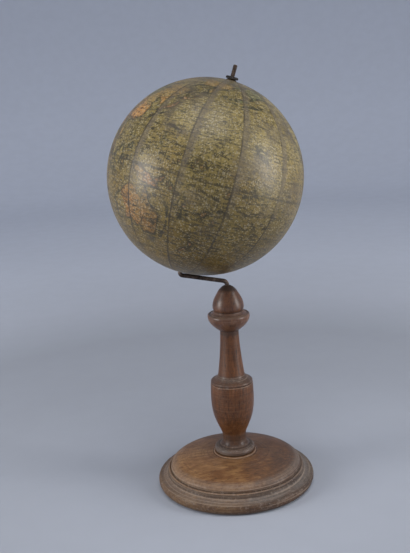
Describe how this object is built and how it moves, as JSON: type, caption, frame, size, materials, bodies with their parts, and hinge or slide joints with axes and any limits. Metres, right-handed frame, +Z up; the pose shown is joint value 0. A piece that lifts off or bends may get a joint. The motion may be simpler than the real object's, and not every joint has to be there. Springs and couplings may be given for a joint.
{
  "type": "terrestrial globe",
  "caption": "Small table globe: a papered ball that spins on a leaning bent iron wire, held by a thumb nut, on a turned wooden column and round base.",
  "frame": {"origin": "centre of the base's underside, on the column's axis", "axes": "+Z is up along the column; the globe's own axis lies in the XZ plane and leans from +Z towards +X; the wire's arm reaches out towards -X"},
  "size_m": [0.1523, 0.15, 0.3366],
  "materials": {
    "base_wood": "turned hardwood, stained red-brown, satin varnish with wear on the ridges",
    "column_wood": "turned hardwood, stained dark red-brown, satin varnish",
    "dark_iron": "drawn iron wire, dark brown patina",
    "nut_metal": "brass, tarnished nearly black",
    "eyelet_brass": "pressed brass, dark tarnish",
    "paper_pulp": "pressed paper pulp, raw",
    "block_wood": "raw softwood",
    "plaster": "smoothed plaster ground",
    "map_paper": "printed paper with hand-laid tints under aged yellow varnish"
  },
  "bodies": {
    "stand": {"base": "base_wood", "pillar": "column_wood", "acorn_finial": "column_wood", "axle_rod": "dark_iron"},
    "globe": {"south_hemisphere": "paper_pulp", "north_hemisphere": "paper_pulp", "joining_strip": "paper_pulp", "south_block": "block_wood", "north_block": "block_wood", "plaster_coat": "plaster", "south_eyelet": "eyelet_brass", "north_eyelet": "eyelet_brass", "south_cap": "map_paper", "north_cap": "map_paper", "gore_01": "map_paper", "gore_02": "map_paper", "gore_03": "map_paper", "gore_04": "map_paper", "gore_05": "map_paper", "gore_06": "map_paper", "gore_07": "map_paper", "gore_08": "map_paper", "gore_09": "map_paper", "gore_10": "map_paper", "gore_11": "map_paper", "gore_12": "map_paper"},
    "washer": {"north_washer": "dark_iron"},
    "nut": {"thumb_nut": "nut_metal"}
  },
  "joints": [
    {"name": "globe_spin", "type": "hinge", "parent": "stand", "child": "globe", "pos_m": [-0.01314, 0, 0.25385], "axis": [0.3206, 0, 0.9472], "continuous": true},
    {"name": "washer_lift", "type": "slide", "parent": "stand", "child": "washer", "axis": [0.3206, 0, 0.9472], "range_m": [0, 0.008]},
    {"name": "nut_turn", "type": "hinge", "parent": "washer", "child": "nut", "pos_m": [-0.01314, 0, 0.25385], "axis": [0.3206, 0, 0.9472], "range_deg": [0, 3600]}
  ],
  "couplings": [
    {"joint": "nut_turn", "follows": "washer_lift", "rad_per_m": 7853.9}
  ]
}
